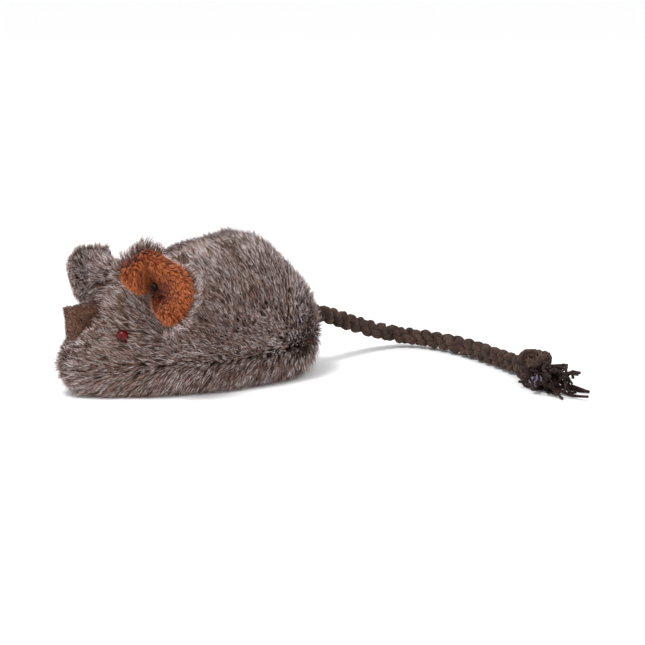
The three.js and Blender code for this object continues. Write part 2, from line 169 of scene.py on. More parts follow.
def newMaterial(name, fixed):
    material = bpy.data.materials.new(name)
    material.use_nodes = True
    shader = material.node_tree.nodes["Principled BSDF"]
    for socket, value in fixed.items():
        shader.inputs[socket].default_value = value
    material.diffuse_color = fixed.get("Base Color", (0.5, 0.5, 0.5, 1))
    return material, shader, Wire(material.node_tree)


def feed(shader, socket, wire):
    wire.tree.links.new(wire.socket, shader.inputs[socket])


def bumped(wire, height, strength, distance):
    return wire.make("Bump", None, {"Height": height, "Strength": strength, "Distance": distance})


def place(wire, stretch=(1, 1, 1)):
    where = wire.make("TexCoord", None, None, 3)
    return wire.make("Mapping", {"vector_type": "POINT"}, {"Vector": where, "Scale": stretch})


def cloud(wire, at, scale, detail=3.0, roughness=0.55):
    return wire.make("TexNoise", None, {"Vector": at, "Scale": scale, "Detail": detail, "Roughness": roughness})


def ramp(wire, factor, *stops):
    return wire.make("ValToRGB", {"stops": stops}, {"Fac": factor})


def meshObject(name, form):
    mesh = bpy.data.meshes.new(name)
    form.to_mesh(mesh)
    form.free()
    mesh.shade_smooth()
    piece = bpy.data.objects.new(name, mesh)
    bpy.context.collection.objects.link(piece)
    return piece


def settle(piece, slot, body="root", *nodes):
    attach(piece, body)
    if nodes:
        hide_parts(*nodes)
    return piece


def seeded(number):
    return np.random.default_rng(number)


# tail: the rope and its end

rope = {
    "route": [
        (39, 0, 21), (45, 0, 21), (50.5, 0, 21), (57, 0.4, 19.6), (66, 3.6, 16.4), (74.2, 6.1, 13),
        (82.2, 7.9, 10), (90, 8.9, 7.4), (98.4, 8.2, 5.2), (105.2, 3.4, 4.1), (109.3, -4.6, 3.8),
        (111.6, -13, 3.75), (112.7, -22, 3.75), (113.1, -31.5, 3.75), (112.9, -41.5, 3.75),
        (112.3, -50.5, 3.9), (111.3, -58, 4.5), (110.6, -64, 5.2),
    ],
    "diameter": 6.9,
    "step": 0.55,          # mm between rings
    "plaitPitch": 17.0,
    "plaitWide": 2.05,
    "plaitDeep": 1.75,
    "plies": 3,
    "plyPitch": 7.0,
    "plyOut": 0.78,
    "plyRadius": 1.05,
    "fuzz": 5200,
}
knotForm = {"at": (109.8, -68.4, 6.5), "half": (6.9, 6.7, 6.3), "fuzz": 620}
tassel = {"at": (108, -88, 4.7), "half": (9.5, 14.5, 4.4), "yarns": 44, "yarnRadius": 0.58}
fluff = {"at": (103.0, -78.6, 3.7), "half": (1.8, 1.8, 1.8), "fibres": 900}


def smoothRoute(points, step):
    # a Catmull-Rom line through the points, with even steps
    stations = np.array(points, float)
    padded = np.vstack([2 * stations[0] - stations[1], stations, 2 * stations[-1] - stations[-2]])
    line = []
    for a, b, c, d in zip(padded, padded[1:], padded[2:], padded[3:]):
        for t in np.linspace(0, 1, 24, endpoint=False):
            line.append(0.5 * (2 * b + (c - a) * t + (2 * a - 5 * b + 4 * c - d) * t ** 2
                               + (3 * b - a - 3 * c + d) * t ** 3))
    line.append(stations[-1])
    line = np.array(line)
    along = np.concatenate([[0], np.cumsum(np.linalg.norm(np.diff(line, axis=0), axis=1))])
    even = np.linspace(0, along[-1], max(2, int(round(along[-1] / step)) + 1))
    return np.stack([np.interp(even, along, line[:, k]) for k in range(3)], axis=1), even


def railway(line):
    # a frame carried along the line without twist: direction, side and up at each point
    ahead = np.gradient(line, axis=0)
    ahead /= np.linalg.norm(ahead, axis=1, keepdims=True)
    side = np.cross(ahead[0], (0, 0, 1.0))
    if np.linalg.norm(side) < 0.1:
        side = np.cross(ahead[0], (1.0, 0, 0))
    sides = []
    for way in ahead:
        side = side - way * side.dot(way)
        side /= np.linalg.norm(side)
        sides.append(side.copy())
    sides = np.array(sides)
    return ahead, sides, np.cross(sides, ahead)


def yarnMesh(name, runs, material, sides=2):
    # round yarns along the given runs of points; a run is (points in mm, radii in mm)
    curve = bpy.data.curves.new(name, "CURVE")
    curve.dimensions = "3D"
    curve.bevel_depth = mm
    curve.bevel_resolution = sides
    curve.use_fill_caps = True
    for points, radii in runs:
        spline = curve.splines.new("POLY")
        spline.points.add(len(points) - 1)
        flat = np.ones((len(points), 4))
        flat[:, :3] = np.asarray(points) * mm
        spline.points.foreach_set("co", flat.ravel())
        spline.points.foreach_set("radius", np.broadcast_to(radii, len(points)).astype(float).ravel())
        spline.use_smooth = True
    holder = bpy.data.objects.new(name + "Line", curve)
    bpy.context.collection.objects.link(holder)
    bpy.context.view_layer.update()
    mesh = bpy.data.meshes.new_from_object(holder)
    bpy.data.objects.remove(holder)
    mesh.name = name
    mesh.materials.clear()
    mesh.materials.append(material)
    mesh.shade_smooth()
    piece = bpy.data.objects.new(name, mesh)
    bpy.context.collection.objects.link(piece)
    return piece


def plaitedRuns(line, along, taperEnd=0.0, lift=None):
    # three strands cross over each other like a pigtail, and each is twisted from its plies
    ahead, side, up = railway(line)
    runs = []
    wander = np.array([[noise.noise(Vector((s * 0.11, k * 9.3, 4.0))) for s in along] for k in range(3)])
    for strand in range(3):
        turn = 2 * math.pi * (along / rope["plaitPitch"] + strand / 3) + 0.6 * wander[strand]
        swell = 1 + 0.12 * wander[(strand + 1) % 3]
        across = rope["plaitWide"] * np.sin(turn) * swell
        deep = rope["plaitDeep"] * np.sin(2 * turn) * swell
        middle = line + side * across[:, None] + up * deep[:, None]
        for ply in range(rope["plies"]):
            twist = 2 * math.pi * (along / rope["plyPitch"] + ply / rope["plies"]) + strand
            offset = side * np.cos(twist)[:, None] + up * np.sin(twist)[:, None]
            points = middle + offset * rope["plyOut"]
            if lift is not None:
                points[:, 2] = np.maximum(points[:, 2], lift + rope["plyRadius"])
            lumps = np.array([noise.noise(Vector((s * 0.35, ply * 5.1, strand * 7.7))) for s in along])
            runs.append((points, rope["plyRadius"] * (1 + 0.14 * lumps)))
    return runs


def ropeYarn():
    material, shader, wire = newMaterial("ropeYarn", {
        "Base Color": tone(66, 50, 44), "Roughness": 0.9, "Specular IOR Level": 0.2,
        "Sheen Weight": 0.25, "Sheen Roughness": 0.5, "Sheen Tint": tone(150, 125, 110),
    })
    at = place(wire)
    patches = cloud(wire, at, 180, 2)
    fibres = cloud(wire, at, 1500, 4, 0.7)
    feed(shader, "Base Color", ramp(
        wire, (patches * 0.45 + fibres * 0.55).clipped(),
        (0.3, tone(36, 26, 24)), (0.5, tone(62, 47, 41)), (0.68, tone(96, 74, 63))))
    feed(shader, "Normal", bumped(wire, fibres, 0.7, 0.0004))
    return material


def frayedYarn():
    material, shader, wire = newMaterial("frayedYarn", {
        "Base Color": tone(44, 32, 30), "Roughness": 0.9, "Specular IOR Level": 0.15,
    })
    at = place(wire)
    plies, patches = cloud(wire, at, 1700, 4, 0.7), cloud(wire, at, 220)
    feed(shader, "Base Color", ramp(
        wire, (plies * 0.5 + patches * 0.5).clipped(),
        (0.3, tone(22, 14, 13)), (0.52, tone(46, 33, 30)), (0.75, tone(92, 72, 66))))
    feed(shader, "Normal", bumped(wire, plies, 0.7, 0.0004))
    return material


def plainFibre(name, colour, sheen=0.0):
    return newMaterial(name, {
        "Base Color": colour, "Roughness": 0.85, "Specular IOR Level": 0.25,
        "Sheen Weight": sheen, "Sheen Roughness": 0.5,
    })[0]


def curlRun(start, way, length, curl, generator, floor=0.45, gravity=0.02, step=0.7):
    # a springy yarn end: a walk whose heading turns with a slowly changing spin
    count = max(4, int(length / step))
    heading = np.array(way, float)
    heading /= np.linalg.norm(heading)
    spin = generator.normal(0, 1, 3)
    point, points = np.array(start, float), []
    for _ in range(count):
        points.append(point.copy())
        spin = 0.9 * spin + 0.45 * generator.normal(0, 1, 3)
        heading = heading + curl * step * np.cross(spin, heading) * 0.35
        heading[2] -= gravity * step
        heading /= np.linalg.norm(heading)
        point = point + heading * step
        if point[2] < floor:
            point[2] = floor
            heading[2] = abs(heading[2]) * 0.2
    return np.array(points)


def makeTail():
    line, along = smoothRoute(rope["route"], rope["step"])
    cord = yarnMesh("tail_rope_plait", plaitedRuns(line, along, lift=0.05), ropeYarn())
    settle(cord, "rope", "root", "tail_rope")

    # an overhand knot: the rope goes over, under and through itself
    turns = np.linspace(0.08, 0.97, 90) * 2 * math.pi
    form = np.stack([np.sin(turns) + 2 * np.sin(2 * turns), np.cos(turns) - 2 * np.cos(2 * turns),
                     -np.sin(3 * turns)], axis=1)
    reach = np.array(knotForm["half"]) - 3.1
    loop = np.array(knotForm["at"]) + form / np.array([3, 3, 1]) * reach
    knotLine, knotAlong = smoothRoute(loop, rope["step"])
    knot = yarnMesh("tail_knot_turns", plaitedRuns(knotLine, knotAlong, lift=0.05), ropeYarn())
    settle(knot, "rope", "root", "tail_knot")

    generator = seeded(11)
    fringe = []
    centre, half = np.array(tassel["at"]), np.array(tassel["half"])
    root = np.array(knotForm["at"]) + np.array([-0.8, -5.0, -1.5])
    for yarn in range(tassel["yarns"]):
        spread = generator.normal(0, 1, 3) * (0.46, 0.12, 0.42)
        way = np.array([-0.02, -1.0, 0.02]) + spread
        if yarn % 9 == 0:
            way = np.array([-0.9, -0.55, 0.0]) + spread          # a few ends stray back along the floor
        start = root + generator.normal(0, 1.3, 3)
        length = generator.uniform(15, 29)
        points = curlRun(start, way, length, generator.uniform(0.12, 0.5), generator)
        points = np.clip(points, centre - half * (1.0, 1.25, 1) + 0.4, centre + half * (1, 1.45, 1) - 0.4)
        points[:, 2] = np.maximum(points[:, 2], 0.5)
        radius = tassel["yarnRadius"] * generator.uniform(0.7, 1.25)
        fringe.append((points, radius * np.linspace(1.1, 0.8, len(points))))
    ends = yarnMesh("tail_tassel_yarns", fringe, frayedYarn(), 1)
    settle(ends, "rope", "root", "tail_tassel")

    generator = seeded(12)
    wisps = []
    centre, half = np.array(fluff["at"]), np.array(fluff["half"])
    for wisp in range(fluff["fibres"]):
        out = generator.normal(0, 1, 3)
        start = centre + out / np.linalg.norm(out) * half * generator.uniform(0, 0.8)
        wisps.append((curlRun(start, out, generator.uniform(1.2, 2.6), 1.6, generator, 0.1, 0, 0.4), 0.045))
    core = yarnMesh("tail_core_fibres", wisps, plainFibre("coreFibre", tone(214, 208, 232)), 0)
    settle(core, "core_fluff", "root", "tail_core_tuft")

    generator = seeded(13)
    hairs = []
    brown, pale = plainFibre("ropeHair", tone(58, 44, 39)), plainFibre("knotHair", tone(128, 104, 96))
    ahead, side, up = railway(line)
    for hair in range(rope["fuzz"] // 2):
        k = generator.integers(0, len(line) - 1)
        around = generator.uniform(0, 2 * math.pi)
        out = side[k] * math.cos(around) + up[k] * math.sin(around)
        start = line[k] + out * 2.3
        way = out * 0.6 + ahead[k] * generator.uniform(-1.6, 1.6) + generator.normal(0, 0.4, 3)
        hairs.append((curlRun(start, way, generator.uniform(1.2, 2.3), 2.6, generator, 0.1, 0, 0.4), 0.055))
    nap = yarnMesh("tail_rope_nap", hairs, brown, 0)
    settle(nap, "rope")
    curls = []
    for hair in range(knotForm["fuzz"]):
        out = generator.normal(0, 1, 3)
        out /= np.linalg.norm(out)
        start = np.array(knotForm["at"]) + out * np.array(knotForm["half"]) * 0.72
        curls.append((curlRun(start, out, generator.uniform(1.5, 5), 1.9, generator, 0.1, 0, 0.5), 0.045))
    wool = yarnMesh("tail_knot_wool", curls, pale, 0)
    settle(wool, "rope")
    for hair in (nap, wool, core, ends):
        points = np.empty(len(hair.data.vertices) * 3)
        hair.data.vertices.foreach_get("co", points)
        points = points.reshape(-1, 3)
        points[:, 2] = np.maximum(points[:, 2], 0.00005)
        hair.data.vertices.foreach_set("co", points.ravel())


# pile cloth: the backing, and the fur that grows from it

cloth = {
    "pile": 4.0,            # mm from the pile's tips down to the backing
    "backing": 1.0,
    "hem": 11.85,           # height of the seam between the covers and the skirt
    "rim": 0.9,             # the backing's lowest edge
    "tailPlug": 4.4, "keyPlug": 3.9,      # discs over the holes that the tail and the key leave by
    "around": 112,
    "along": 64,
}
coverNodes = ("cover_left_panel", "cover_right_panel", "skirt_band")


def looseTree(names):
    # the cover's solids as one search tree, with its holes closed
    merged = bmesh.new()
    for name in names:
        merged.from_mesh(frame["nodes"][name].data)
    for name, axis, radius in (("tail_whipping", 0, cloth["tailPlug"]), ("winding_key", 1, cloth["keyPlug"])):
        # a disc across the cover's hole, level with the hole's rim
        centre = sum((Vector(corner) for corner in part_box(name)), Vector()) / 2
        rim = [vertex.co[axis] for vertex in merged.verts if vertex.co[axis] > 10 * mm and all(
            abs(vertex.co[k] - centre[k]) < (radius + 1) * mm for k in range(3) if k != axis)]
        centre[axis] = max(rim)
        turn = Matrix.Rotation(math.pi / 2, 4, "YX"[axis])
        bmesh.ops.create_circle(
            merged, cap_ends=True, radius=radius * mm, segments=24, matrix=Matrix.Translation(centre) @ turn)
    tree = BVHTree.FromBMesh(merged)
    merged.free()
    return tree


def toyForm():
    # a round form pressed onto the covers' outer face from outside
    tree = looseTree(coverNodes)
    low, high = (Vector(corner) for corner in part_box("skirt_band"))
    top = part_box("cover_left_panel")[1]
    middle = Vector(((low.x + high.x) / 2, 0, 14 * mm))
    reach = Vector(((high.x - low.x) / 2, high.y, top[2] - middle.z))
    form = bmesh.new()
    bmesh.ops.create_uvsphere(form, u_segments=cloth["around"], v_segments=cloth["along"], radius=1)
    bmesh.ops.rotate(form, verts=form.verts, matrix=Matrix.Rotation(math.pi / 2, 3, "Y"))
    nudges = [Vector((0, a, b)) * 0.7 * mm for a in (-1, 0, 1) for b in (-1, 0, 1)]
    for vertex in form.verts:
        way = Vector((vertex.co.x * reach.x, vertex.co.y * reach.y, vertex.co.z * reach.z))
        ahead = way.normalized()
        hits = [tree.ray_cast(middle + way * 1.8 + nudge, -ahead)[0] for nudge in nudges]
        out = [(hit - middle).dot(ahead) for hit in hits if hit]      # the widest, so seams are bridged
        spot = middle + ahead * max(out, default=0)
        if spot.z < 0.4 * mm:
            flat = Vector((way.x, way.y, 0))
            start = Vector((middle.x, 0, 0.4 * mm)) + flat * 3
            rim = tree.ray_cast(start, -flat.normalized())[0] if flat.length > 1e-6 else None
            inward = 1 + vertex.co.z * 0.35
            spot = Vector((rim.x * inward, rim.y * inward, -2.5 * mm)) if rim else Vector((0, 0, -4 * mm))
        vertex.co = spot
    for _ in range(3):
        bmesh.ops.smooth_vert(form, verts=form.verts, factor=0.4, use_axis_x=True, use_axis_y=True, use_axis_z=True)
    form.normal_update()
    return form


def cut(form, at, normal, keepBelow=False):
    bmesh.ops.bisect_plane(
        form, geom=form.verts[:] + form.edges[:] + form.faces[:], plane_co=at, plane_no=normal,
        clear_inner=not keepBelow, clear_outer=keepBelow)


def backingPanel(name, low=None, high=None, side=0):
    # one cloth panel: the toy's form pulled in by the pile, trimmed at its seams and given a thickness
    form = toyForm()
    shift = [(vertex, vertex.normal.copy()) for vertex in form.verts]
    for vertex, normal in shift:
        vertex.co -= normal * cloth["pile"] * mm
    if low is not None:
        cut(form, (0, 0, low * mm), (0, 0, 1))
    if high is not None:
        cut(form, (0, 0, high * mm), (0, 0, 1), True)
    if side:
        cut(form, (0, side * 0.05 * mm, 0), (0, side, 0))
    piece = meshObject(name, form)
    wall = piece.modifiers.new("wall", "SOLIDIFY")
    wall.thickness = cloth["backing"] * mm
    wall.offset = -1
    return piece


def backingCloth():
    material, shader, wire = newMaterial("backingCloth", {
        "Base Color": tone(58, 44, 38), "Roughness": 0.95, "Specular IOR Level": 0.15,
    })
    at = place(wire)
    weave = wire.make("TexVoronoi", {"feature": "F1"}, {"Vector": at, "Scale": 1400.0})
    patches = cloud(wire, at, 260)
    feed(shader, "Base Color", ramp(
        wire, (patches * 0.7 + weave * 0.3).clipped(), (0.25, tone(34, 24, 20)), (0.75, tone(84, 66, 57))))
    feed(shader, "Normal", bumped(wire, weave, 0.5, 0.0003))
    return material


# fur: every strand is a thin blade, tinted by where it lies on the strand

fur = {
    "perSquareMm": 7.0,
    "length": 5.9,
    "lengthVaries": 0.22,
    "width": 0.15,
    "rise": 0.68,
    "lean": 0.74,
    "levels": (0.3, 0.66),       # where the tint changes along a strand
    "clumpsPerSquareMm": 1.7,
    "clumping": 0.45,
    "stray": 0.26,
    "roll": 0.9,
}
tints = {
    "root": (50, 32, 25),
    "mid": {"brown": (74, 50, 40), "rust": (102, 60, 42), "taupe": (112, 89, 80), "ash": (138, 118, 110)},
    "tip": {"brown": (118, 93, 84), "rust": (138, 90, 68), "taupe": (178, 158, 151), "ash": (228, 216, 216)},
}
tintShare = {"brown": 0.25, "rust": 0.10, "taupe": 0.36, "ash": 0.29}      # from the darkest to the palest


def furMaterials():
    made = [plainFibre("furRoot", tone(*tints["root"]))]
    for level in ("mid", "tip"):
        for name, colour in tints[level].items():
            made.append(plainFibre("fur" + level.title() + name.title(), tone(*colour), 0.1))
    return made


def blade(levels):
    # one flat strand a unit long, cut across where its tint changes
    form = bmesh.new()
    bmesh.ops.create_grid(form, x_segments=1, y_segments=1, size=1)
    for vertex in form.verts:
        height = (vertex.co.y + 1) / 2
        vertex.co = (vertex.co.x * (1 - 0.98 * height), 0, height)
    bmesh.ops.remove_doubles(form, verts=form.verts, dist=0.1)
    for level in levels:
        whole = form.verts[:] + form.edges[:] + form.faces[:]
        bmesh.ops.bisect_plane(form, geom=whole, plane_co=(0, 0, level), plane_no=(0, 0, 1))
    form.normal_update()
    if sum(face.normal.y for face in form.faces) < 0:
        bmesh.ops.reverse_faces(form, faces=form.faces)
    form.verts.ensure_lookup_table()
    points = np.array([vertex.co[:] for vertex in form.verts])
    faces = [[vertex.index for vertex in face.verts] for face in form.faces]
    heights = np.array([face.calc_center_median().z for face in form.faces])
    form.free()
    band = np.searchsorted(np.array(levels), heights)
    return points, faces, band


def growStrands(name, strandForm, count, curveOf, widths, materials, tintOf):
    # copies of one strand, each bent along its own curve; curveOf gives the middle line at a height
    points, faces, band = strandForm
    where = np.empty((count, len(points), 3))
    for k, (x, y, h) in enumerate(points):
        middle, across = curveOf(h)
        swell = (1 + 1.1 * h) if h < 0.99 else 1
        where[:, k] = middle + across * x * widths[:, None] * swell
    where[..., 2] = np.maximum(where[..., 2], 0.15 * mm)
    mesh = bpy.data.meshes.new(name)
    sizes = np.array([len(face) for face in faces])
    order = np.concatenate([np.array(face) for face in faces])
    loops = (order[None, :] + np.arange(count)[:, None] * len(points)).ravel()
    starts = np.concatenate([[0], np.cumsum(np.tile(sizes, count))[:-1]])
    mesh.vertices.add(count * len(points))
    mesh.vertices.foreach_set("co", where.ravel())
    mesh.loops.add(len(loops))
    mesh.loops.foreach_set("vertex_index", loops)
    mesh.polygons.add(len(starts))
    mesh.polygons.foreach_set("loop_start", starts)
    for material in materials:
        mesh.materials.append(material)
    mesh.polygons.foreach_set("material_index", tintOf(band).ravel())
    mesh.update(calc_edges=True)
    mesh.shade_smooth()
    piece = bpy.data.objects.new(name, mesh)
    bpy.context.collection.objects.link(piece)
    return piece


def surfaceData(form):
    # triangles, corner places and corner normals of a bmesh
    bmesh.ops.triangulate(form, faces=form.faces[:])
    form.verts.ensure_lookup_table()
    form.normal_update()
    places = np.array([vertex.co[:] for vertex in form.verts])
    normals = np.array([vertex.normal[:] for vertex in form.verts])
    corners = np.array([[vertex.index for vertex in face.verts] for face in form.faces])
    form.free()
    return places, normals, corners


def scatter(surface, perSquareMm, generator):
    # roots spread evenly by area, with the surface's normal at each
    places, normals, corners = surface
    a, b, c = (places[corners[:, k]] for k in range(3))
    areas = 0.5 * np.linalg.norm(np.cross(b - a, c - a), axis=1)
    count = int(areas.sum() / mm ** 2 * perSquareMm)
    pick = generator.choice(len(areas), count, p=areas / areas.sum())
    u, v = generator.random(count), generator.random(count)
    flip = u + v > 1
    u[flip], v[flip] = 1 - u[flip], 1 - v[flip]
    w = 1 - u - v
    mix = lambda data: (data[corners[pick, 0]] * w[:, None] + data[corners[pick, 1]] * u[:, None]
                        + data[corners[pick, 2]] * v[:, None])
    spots, ways = mix(places), mix(normals)
    return spots, ways / np.linalg.norm(ways, axis=1, keepdims=True)


def smoothNoise(points, scale, seed):
    return np.array([noise.noise(Vector(point) * scale + Vector((seed, 0, 0))) for point in points])


def unit(vectors):
    return vectors / np.maximum(np.linalg.norm(vectors, axis=1, keepdims=True), 1e-9)


def blendBy(value, low, high):
    t = np.clip((value - low) / (high - low), 0, 1)
    return (t * t * (3 - 2 * t))[:, None]


def parting(x):
    # the line that the cover's pile leaves upwards and the skirt's pile leaves downwards, higher at the rump
    return cloth["hem"] + 3 * blendBy(x, 28, 52)[:, 0] - 2.0 * blendBy(x, -20, -48)[:, 0]


def nap(spots, normals):
    # which way the pile is brushed: forward round the body, up on the covers and down on the skirt
    x, y, z = (spots[:, k] / mm for k in range(3))
    side = np.clip(y / 5, -1, 1)
    belt = unit(np.cross(normals, (0, 0, 1.0))) * -side[:, None]
    crown = (blendBy(normals[:, 2], 0.5, 0.85) * (1 - blendBy(abs(y), 2, 8)))
    forward = unit(normals * normals[:, :1] - (1.0, 0, 0))
    belt = belt * (1 - crown) + forward * crown
    upward = np.array((0, 0, 1.0)) - normals * normals[:, 2:3]
    upward = unit(upward + (0, 0, 1e-6))
    line = parting(x)
    above = blendBy(z - line, 0, 24)[:, 0]
    steepest = 30 + 22 * blendBy(x, -25, 5)[:, 0] + 14 * blendBy(x, 8, 34)[:, 0]
    climb = np.radians(26 + (steepest - 26) * above)[:, None]
    cover = belt * np.cos(climb) + upward * np.sin(climb) * (1 - crown)
    drop = np.radians(10 + 30 * blendBy(x, -44, -15)[:, 0] + 22 * blendBy(x, 15, 44)[:, 0])[:, None]
    skirt = belt * np.cos(drop) - upward * np.sin(drop)
    return skirt + (cover - skirt) * blendBy(z - line, -2.5, 2.5)       # short where the pile parts and stands up


def growFur(name, spots, normals, combed, generator, settings, materials, lengths=None, paler=0.0):
    count = len(spots)
    laid = np.clip(np.linalg.norm(combed, axis=1, keepdims=True), 0.55, 1)
    length = settings["length"] * mm * (1 + settings["lengthVaries"] * generator.normal(0, 1, count).clip(-2, 2))
    if lengths is not None:
        length = length * lengths
    drift = 0.35 * smoothNoise(spots, 120, 3)
    side = np.cross(normals, combed)
    stray = settings["stray"] * generator.normal(0, 1, (count, 2))
    combed = unit(combed + side * (drift + stray[:, 0])[:, None] * 1.3)
    side = unit(np.cross(normals, combed))
    rise = settings["rise"] * (1 + 0.25 * stray[:, 1] + 0.35 * smoothNoise(spots, 90, 8))[:, None]
    rise = rise * (1.15 - 0.15 * laid)
    lean = settings["lean"] * laid
    tip = spots + length[:, None] * (normals * rise + combed * lean)
    # neighbouring tips are drawn together, so the pile parts in small locks
    clumps = generator.choice(count, max(1, int(count * settings["clumpsPerSquareMm"] / settings["perSquareMm"])), False)
    tree = KDTree(len(clumps))
    for k, index in enumerate(clumps):
        tree.insert(spots[index], k)
    tree.balance()
    nearest = clumps[[tree.find(spot)[1] for spot in spots]]
    drawn = settings["clumping"] * generator.uniform(0.6, 1.2, count)[:, None]
    pull = (tip[nearest] - tip) * drawn

    roll = generator.uniform(-settings["roll"], settings["roll"], count)[:, None]
    across = side * np.cos(roll) + normals * np.sin(roll)

    def curveOf(h):
        middle = spots + length[:, None] * (normals * rise * (1.45 * h - 0.45 * h * h) + combed * lean * (0.3 * h + 0.7 * h * h))
        return middle + pull * h ** 1.6, across

    names = list(tintShare)
    lock = generator.random(count)[nearest]
    # paler moves strands towards the paler tints; on the rump, the felt and the ear linings it also carries painted
    # light and shade
    chance = 0.5 + (0.55 * generator.random(count) + 0.45 * lock - 0.5) * 1.35 + paler
    kind = np.searchsorted(np.cumsum(list(tintShare.values())), chance).clip(0, len(names) - 1)

    def tintOf(band):
        table = np.zeros((count, len(band)), dtype=np.int32)
        for k, level in enumerate(band):
            table[:, k] = 0 if level == 0 else 1 + (level - 1) * len(names) + kind
        return table

    widths = settings["width"] * mm * generator.uniform(0.75, 1.3, count)
    return growStrands(name, blade(settings["levels"]), count, curveOf, widths, materials, tintOf)


# ears: a cupped sheet with a plump front, a crease, and an open notch at the bottom

ear = {
    "rim": 13.6,
    "throat": 1.4,
    "funnel": 4.5,                 # how much deeper the hollow goes at the throat
    "depth": 8.0,
    "edgeRoll": 2.6,               # how far the outer edge turns back
    "liningAt": 1.2, "backAt": 1.75,   # how deep the two cloths lie behind the lining's tips
    "clothThickness": 0.5,
    "left": {
        "centre": (-24.5, -25, 41.2), "facing": (-0.5, -0.84, 0.2), "from": -76, "to": 168,
        "fromInner": -38, "toInner": 44, "crease": 112, "creaseDepth": 9.5, "creaseWidth": 1.5,
        "throatShift": (-1.2, 0.2), "noise": 3.0, "pileShare": 1.0, "plump": 3.4,      # plump: how far the lobes swell forward
        "rimShape": ((-80, 1.0), (-20, 1.02), (3, 0.95), (36, 0.84), (60, 0.79), (76, 0.81), (92, 0.93),
                     (108, 1.09), (126, 1.0), (170, 0.98)),
    },
    "right": {
        "centre": (-29.6, 21.0, 37.7), "facing": (-0.58, 0.76, -0.22), "from": -80, "to": 222,
        "fromInner": -30, "toInner": 30, "crease": 95, "creaseDepth": 3.0, "creaseWidth": 2.4,
        "throatShift": (0, 0), "noise": 8.0, "pileShare": 0.8, "plump": 2.0,
        "rimShape": ((-70, 1.0), (45, 0.92), (65, 0.82), (95, 0.8), (112, 0.9), (128, 1.05), (146, 1.2),
                     (162, 1.18), (180, 1.12), (222, 1.08)),
    },
}
liningPile = {
    "perSquareMm": 14, "length": 1.9, "lengthVaries": 0.2, "width": 0.1, "rise": 0.68, "lean": 0.66,
    "levels": (0.4,), "clumpsPerSquareMm": 1.3, "clumping": 0.45, "stray": 0.15, "roll": 0.7,
}
earPile = dict(fur, perSquareMm=9.5, length=5.0, rise=0.62, lean=0.78, clumpsPerSquareMm=1.4)


def earAxes(pose):
    facing = Vector((pose["facing"][0], -abs(pose["facing"][1]), pose["facing"][2])).normalized()
    across = Vector((0, 0, 1)).cross(facing).normalized()
    return facing, across, facing.cross(across)


def earForm(side, near, spread=0.0, plump=1.0):
    # a sheet of one ear, near mm behind the lining's tips and spread mm wider at the rim
    pose = ear[side]
    facing, across, up = earAxes(pose)
    centre = Vector((pose["centre"][0], -abs(pose["centre"][1]), pose["centre"][2]))
    form = bmesh.new()
    bmesh.ops.create_grid(form, x_segments=72, y_segments=26, size=0.5)
    for vertex in form.verts:
        u, v = vertex.co.x + 0.5, vertex.co.y + 0.5
        slack = (1 - v) ** 1.3
        low, high = pose["from"] + pose["fromInner"] * slack, pose["to"] + pose["toInner"] * slack
        angle = math.radians(low + (high - low) * u)
        outer = ear["rim"] + spread
        edge = min(u, 1 - u) * (high - low) / 22          # 0 on the cut edges, 1 a little way in
        if edge < 1:
            outer -= 2.2 * (1 - edge) ** 2.2
        radius = ear["throat"] + (outer - ear["throat"]) * v
        radius *= np.interp(math.degrees(angle), *zip(*pose["rimShape"])) * v + 1 - v
        radius *= 1 + 0.035 * noise.noise(Vector((math.cos(angle) * 1.6, math.sin(angle) * 1.6, pose["noise"])))
        sunk = -ear["depth"] * (1 - radius / ear["rim"]) - near
        sunk += plump * pose["plump"] * math.sin(math.pi * v ** 0.85) ** 1.1
        sunk -= ear["funnel"] * math.exp(-(radius / 3.4) ** 2)
        sunk -= ear["edgeRoll"] * (max(0, v - 0.82) / 0.18) ** 2 * 0.6
        sunk -= ear["edgeRoll"] * max(0, 1 - edge) ** 2
        around = radius * (angle - math.radians(pose["crease"]))
        widened = pose["creaseWidth"] * (0.7 + 1.5 * (1 - v))
        sunk -= pose["creaseDepth"] * math.exp(-(around / widened) ** 2) * (1 - v) ** 0.9
        sunk += 0.35 * noise.noise(Vector((radius * 0.22, math.degrees(angle) * 0.03, pose["noise"])))
        shiftX, shiftY = (amount * (1 - v) ** 1.2 for amount in pose["throatShift"])
        spot = centre + across * (radius * math.cos(angle) + shiftX) + up * (radius * math.sin(angle) + shiftY)
        spot += facing * sunk
        vertex.co = spot * mm
    if side == "right":
        bmesh.ops.scale(form, vec=(1, -1, 1), verts=form.verts)
        bmesh.ops.reverse_faces(form, faces=form.faces)
    form.normal_update()
    front = Vector((facing.x, facing.y if side == "left" else -facing.y, facing.z))
    middle = sum((face.normal for face in form.faces), Vector())
    if middle.dot(front) < 0:
        bmesh.ops.reverse_faces(form, faces=form.faces)
        form.normal_update()
    return form


def earCloth(name, form, material, outward):
    if not outward:
        bmesh.ops.reverse_faces(form, faces=form.faces)
        form.normal_update()
    piece = meshObject(name, form)
    wall = piece.modifiers.new("wall", "SOLIDIFY")
    wall.thickness = ear["clothThickness"] * mm
    wall.offset = -1
    piece.data.materials.append(material)
    return piece


def liningCloth():
    material, shader, wire = newMaterial("liningCloth", {
        "Base Color": tone(128, 62, 32), "Roughness": 0.9, "Specular IOR Level": 0.2,
    })
    at = place(wire)
    patches = cloud(wire, at, 420)
    feed(shader, "Base Color", ramp(wire, patches, (0.3, tone(92, 42, 20)), (0.7, tone(156, 80, 42))))
    feed(shader, "Normal", bumped(wire, cloud(wire, at, 2200), 0.6, 0.0003))
    return material


